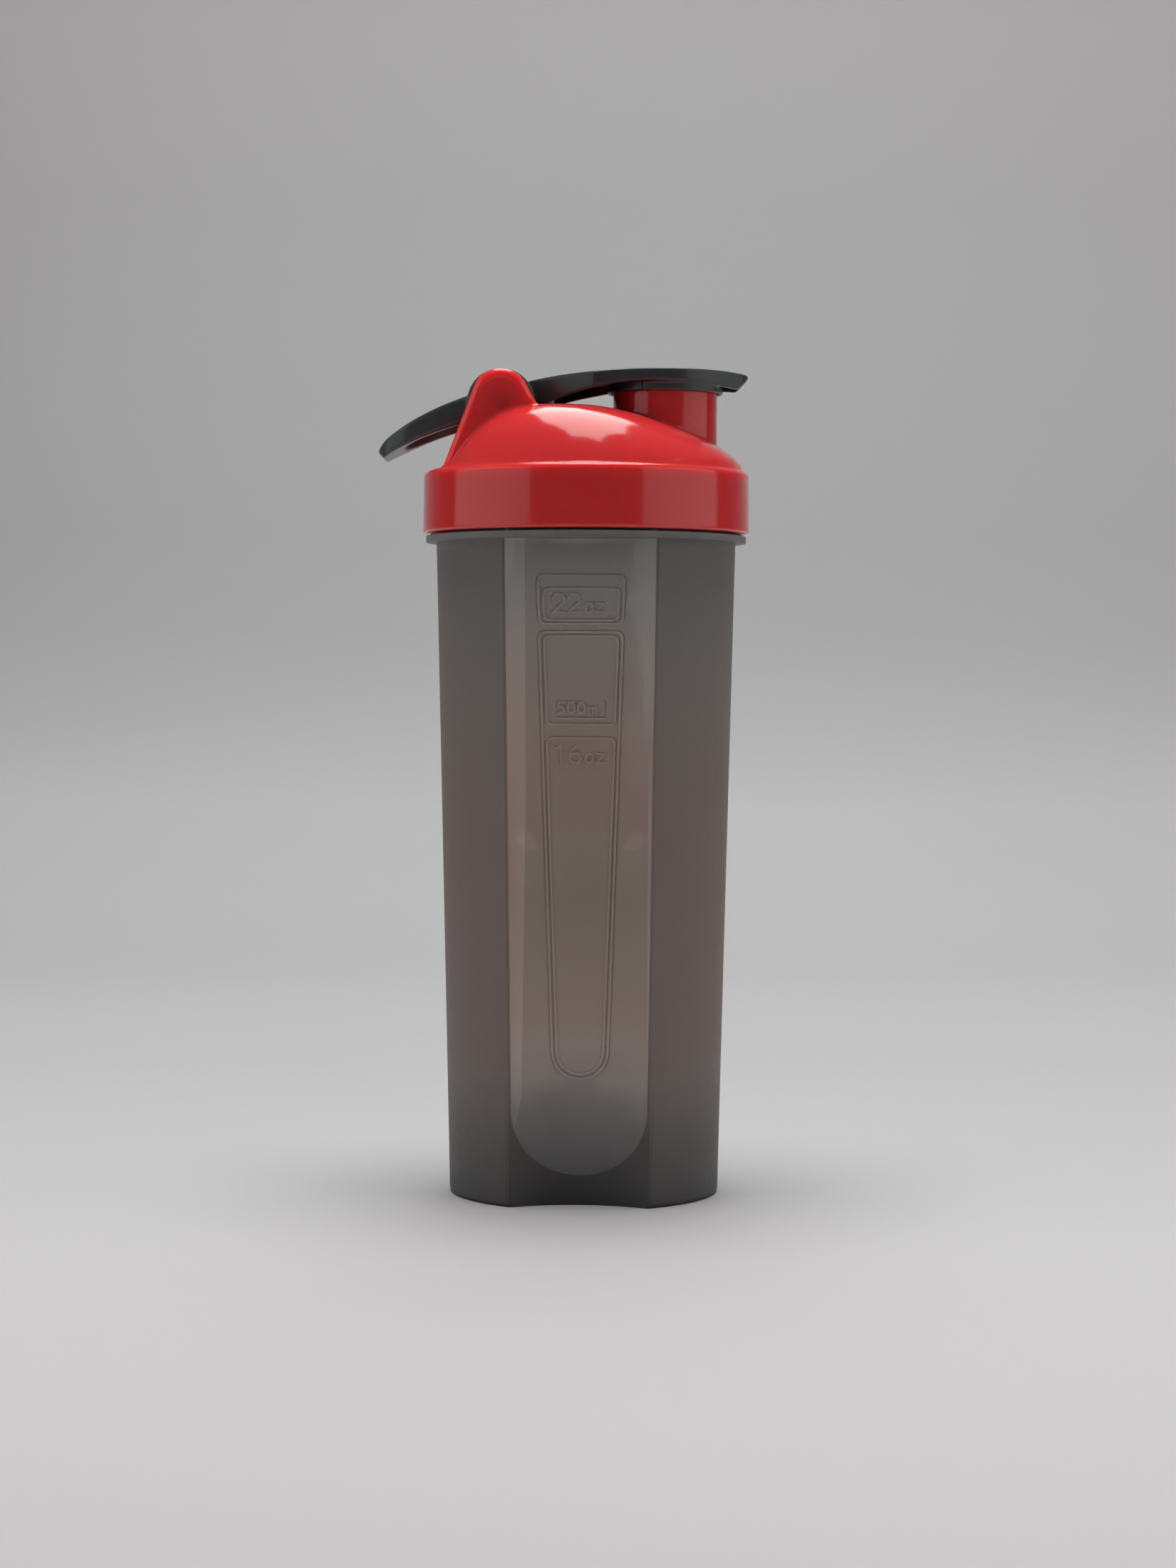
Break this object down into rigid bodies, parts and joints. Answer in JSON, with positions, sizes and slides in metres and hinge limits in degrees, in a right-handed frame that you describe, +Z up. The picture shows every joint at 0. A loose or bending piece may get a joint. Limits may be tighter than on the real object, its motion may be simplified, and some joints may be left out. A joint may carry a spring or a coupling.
{
  "type": "protein shaker bottle",
  "caption": "Translucent shaker cup with finger panels, a red screw lid with a drinking spout, a hinged flip cap and a hinged carry loop.",
  "frame": {"origin": "centre of the standing ring, on the surface that the bottle stands on", "axes": "+Z up along the cup's axis, +X from the hinge towards the drinking spout, +Y completes the right-handed frame"},
  "size_m": [0.1023, 0.09, 0.2275],
  "materials": {
    "cup_plastic": "translucent smoke grey, frosted with glossy panels",
    "lid_plastic": "glossy red",
    "silicone": "matte",
    "grid_plastic": "satin",
    "pin_steel": "drawn",
    "black_plastic": "satin black",
    "seal_rubber": "matte"
  },
  "bodies": {
    "cup": {"cup": "cup_plastic"},
    "gasket": {"lid_gasket": "silicone"},
    "lid": {"lid_shell": "lid_plastic", "hinge_pin": "pin_steel", "mixing_grid": "grid_plastic"},
    "flip_cap": {"flip_cap": "black_plastic", "spout_seal": "seal_rubber"},
    "carry_loop": {"carry_loop": "black_plastic"}
  },
  "joints": [
    {"name": "lid_lift", "type": "slide", "parent": "cup", "child": "gasket", "axis": [0, 0, 1], "range_m": [0, 0.01801]},
    {"name": "lid_turn", "type": "hinge", "parent": "gasket", "child": "lid", "pos_m": [0, 0, 0.19], "axis": [0, 0, 1], "range_deg": [0, 1080]},
    {"name": "flip_cap_hinge", "type": "hinge", "parent": "lid", "child": "flip_cap", "pos_m": [-0.0232, 0, 0.2169], "axis": [0, -1, 0], "range_deg": [0, 100]},
    {"name": "carry_loop_hinge", "type": "hinge", "parent": "lid", "child": "carry_loop", "pos_m": [-0.0232, 0, 0.2169], "axis": [0, 1, 0], "range_deg": [0, 40]}
  ],
  "couplings": [
    {"joint": "lid_lift", "follows": "lid_turn", "m_per_rad": 0.00095493}
  ]
}
